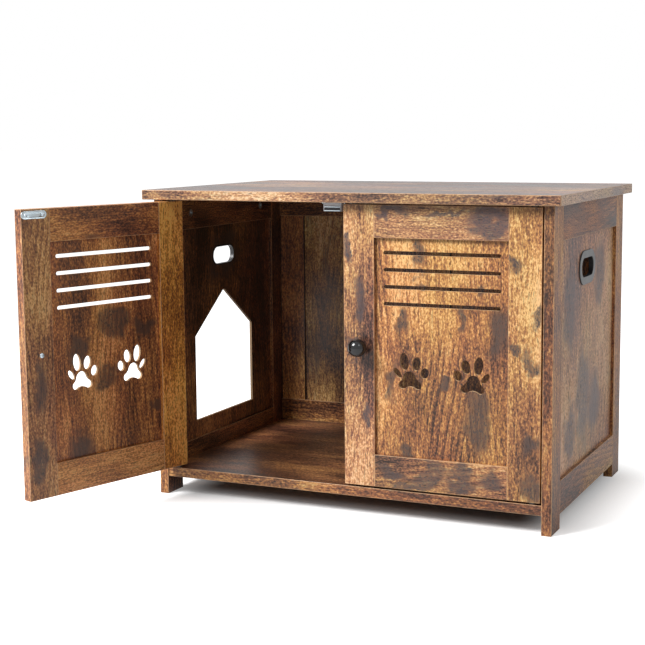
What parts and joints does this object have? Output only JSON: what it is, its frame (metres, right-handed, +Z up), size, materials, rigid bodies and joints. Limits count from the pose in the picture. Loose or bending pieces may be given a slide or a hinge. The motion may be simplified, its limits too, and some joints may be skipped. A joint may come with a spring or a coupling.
{
  "type": "litter box cabinet",
  "caption": "Rustic wood-print litter box cabinet: grooved frame-and-panel sides and doors, house-shaped pet entry, lined hand holes, air slots, paw cut-outs and pivot-hung inset doors.",
  "frame": {"origin": "on the floor under the middle of the four legs", "axes": "+Z up, -Y out of the door side, +X towards the side without the pet entry"},
  "size_m": [0.8857, 0.8365, 0.58],
  "materials": {
    "top_board": "satin rustic brown wood-print board, grain along the width",
    "bottom_board": "satin rustic brown wood-print board, grain along the width",
    "side_upright": "satin rustic brown wood-print board, upright grain",
    "side_rail": "satin rustic brown wood-print board, level grain",
    "side_board": "satin rustic brown wood-print thin board, upright grain",
    "back_upright": "satin rustic brown wood-print board, upright grain",
    "back_crossrail": "satin rustic brown wood-print board, level grain",
    "back_board": "satin rustic brown wood-print thin board, upright grain",
    "door_upright": "satin rustic brown wood-print board, upright grain",
    "door_rail": "satin rustic brown wood-print board, level grain",
    "door_board": "satin rustic brown wood-print thin board, upright grain",
    "grip_plastic": "fine-textured black moulding",
    "knob_black": "glossy black turned knob",
    "catch_plastic": "white moulding",
    "magnet_black": "dark ferrite block",
    "pole_steel": "zinc-plated steel",
    "strike_zinc": "zinc-plated pressed steel",
    "screw_zinc": "zinc-plated steel",
    "pin_steel": "plain steel",
    "sleeve_nylon": "natural nylon",
    "dowel_beech": "plain beech",
    "cam_zinc": "zinc die casting",
    "bolt_steel": "zinc-plated steel"
  },
  "bodies": {
    "cabinet": {"back_bottom_rail": "back_crossrail", "back_centre_stile": "back_upright", "back_frame_dowels": "dowel_beech", "back_left_panel": "back_board", "back_left_stile": "back_upright", "back_right_panel": "back_board", "back_right_stile": "back_upright", "back_top_rail": "back_crossrail", "bottom_cam_bolts": "bolt_steel", "bottom_cam_discs": "cam_zinc", "bottom_panel": "bottom_board", "catch_magnets": "magnet_black", "catch_pole_plates": "pole_steel", "catch_screws": "screw_zinc", "left_bottom_rail": "side_rail", "left_catch_housing": "catch_plastic", "left_front_leg": "side_upright", "left_grip_liner": "grip_plastic", "left_rear_leg": "side_upright", "left_side_panel": "side_board", "left_top_rail": "side_rail", "lower_pivot_pins": "pin_steel", "right_bottom_rail": "side_rail", "right_catch_housing": "catch_plastic", "right_front_leg": "side_upright", "right_grip_liner": "grip_plastic", "right_rear_leg": "side_upright", "right_side_panel": "side_board", "right_top_rail": "side_rail", "side_frame_dowels": "dowel_beech", "top_cam_bolts": "bolt_steel", "top_cam_discs": "cam_zinc", "top_panel": "top_board", "upper_pivot_pins": "pin_steel"},
    "left_door": {"left_door_bottom_rail": "door_rail", "left_door_dowels": "dowel_beech", "left_door_free_stile": "door_upright", "left_door_hinge_stile": "door_upright", "left_door_knob": "knob_black", "left_door_panel": "door_board", "left_door_top_rail": "door_rail", "left_knob_screw": "screw_zinc", "left_pivot_sleeves": "sleeve_nylon", "left_strike_plate": "strike_zinc", "left_strike_screws": "screw_zinc"},
    "right_door": {"right_door_bottom_rail": "door_rail", "right_door_dowels": "dowel_beech", "right_door_free_stile": "door_upright", "right_door_hinge_stile": "door_upright", "right_door_knob": "knob_black", "right_door_panel": "door_board", "right_door_top_rail": "door_rail", "right_knob_screw": "screw_zinc", "right_pivot_sleeves": "sleeve_nylon", "right_strike_plate": "strike_zinc", "right_strike_screws": "screw_zinc"}
  },
  "joints": [
    {"name": "left_door_hinge", "type": "hinge", "parent": "cabinet", "child": "left_door", "pos_m": [-0.349, -0.241, 0.3075], "axis": [0, 0, -1], "range_deg": [-107.5, 12.5]},
    {"name": "right_door_hinge", "type": "hinge", "parent": "cabinet", "child": "right_door", "pos_m": [0.349, -0.241, 0.3075], "axis": [0, 0, 1], "range_deg": [0, 120]}
  ]
}
